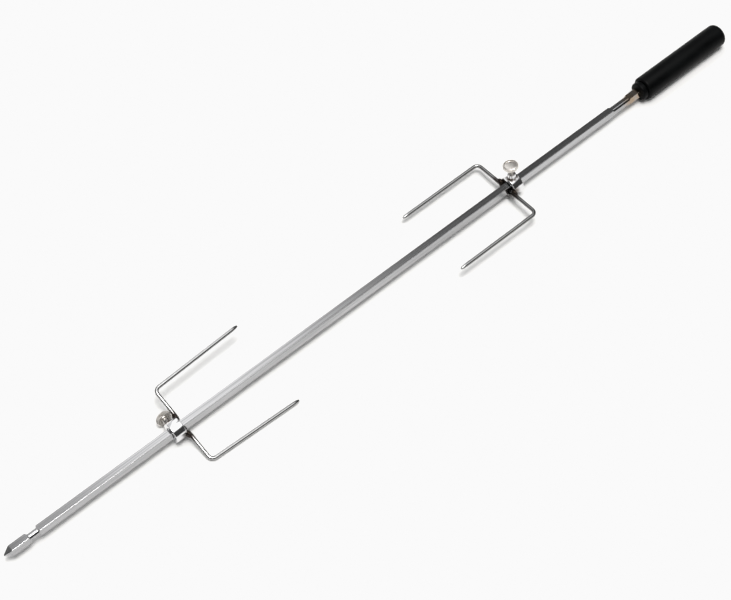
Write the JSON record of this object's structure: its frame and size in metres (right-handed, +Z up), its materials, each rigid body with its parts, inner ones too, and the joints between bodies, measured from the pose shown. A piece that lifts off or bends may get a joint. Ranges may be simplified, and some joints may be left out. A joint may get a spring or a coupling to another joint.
{
  "type": "rotisserie spit roaster",
  "caption": "Square rotisserie bar with a pointed drive end, sliding pronged meat forks clamped by knurled thumb screws, and a round black grip",
  "frame": {"origin": "middle of the base of the spit as it lies on a flat surface", "axes": "+X along the bar from the pointed drive end to the handle, +Z up, +Y to the left when looking along +X"},
  "size_m": [0.9278, 0.0958, 0.0411],
  "materials": {
    "bar_nickel": "drawn bright square bar with fine lengthwise grain",
    "collar_chrome": "bright chrome plate on turned steel",
    "wire_chrome": "bright chrome plate on drawn wire",
    "weld_steel": "dark heat-tinted weld",
    "screw_nickel": "warm bright nickel plate with a knurled rim",
    "grip_black": "black moulded heat-resistant plastic, satin",
    "insert_steel": "plain turned steel"
  },
  "bodies": {
    "spit": {"spit_bar": "bar_nickel", "handle_grip": "grip_black", "handle_nose_ring": "grip_black", "handle_insert": "insert_steel"},
    "front_fork": {"front_fork_collar": "collar_chrome", "front_screw_boss": "collar_chrome", "front_fork_wire": "wire_chrome", "front_left_weld": "weld_steel", "front_right_weld": "weld_steel"},
    "front_stud": {"front_screw_stud": "screw_nickel"},
    "front_head": {"front_screw_head": "screw_nickel"},
    "rear_fork": {"rear_fork_collar": "collar_chrome", "rear_screw_boss": "collar_chrome", "rear_fork_wire": "wire_chrome", "rear_left_weld": "weld_steel", "rear_right_weld": "weld_steel"},
    "rear_stud": {"rear_screw_stud": "screw_nickel"},
    "rear_head": {"rear_screw_head": "screw_nickel"}
  },
  "joints": [
    {"name": "front_fork_slide", "type": "slide", "parent": "spit", "child": "front_fork", "axis": [1, 0, 0], "range_m": [-0.145, 0.1]},
    {"name": "front_screw_travel", "type": "slide", "parent": "front_fork", "child": "front_stud", "axis": [0, 0.9766, -0.215], "range_m": [0, 0.006]},
    {"name": "front_screw_turn", "type": "hinge", "parent": "front_stud", "child": "front_head", "pos_m": [-0.2704, 0, 0.0125], "axis": [0, 0.9766, -0.215], "range_deg": [0, 2160]},
    {"name": "rear_fork_slide", "type": "slide", "parent": "spit", "child": "rear_fork", "axis": [1, 0, 0], "range_m": [-0.1, 0.13]},
    {"name": "rear_screw_travel", "type": "slide", "parent": "rear_fork", "child": "rear_stud", "axis": [0, 0.215, 0.9766], "range_m": [-0.0057, 0.001]},
    {"name": "rear_screw_turn", "type": "hinge", "parent": "rear_stud", "child": "rear_head", "pos_m": [0.1601, 0, 0.0125], "axis": [0, 0.215, 0.9766], "range_deg": [-2052, 360]}
  ],
  "couplings": [
    {"joint": "front_screw_turn", "follows": "front_screw_travel", "rad_per_m": 6283.2},
    {"joint": "rear_screw_turn", "follows": "rear_screw_travel", "rad_per_m": 6283.2}
  ]
}
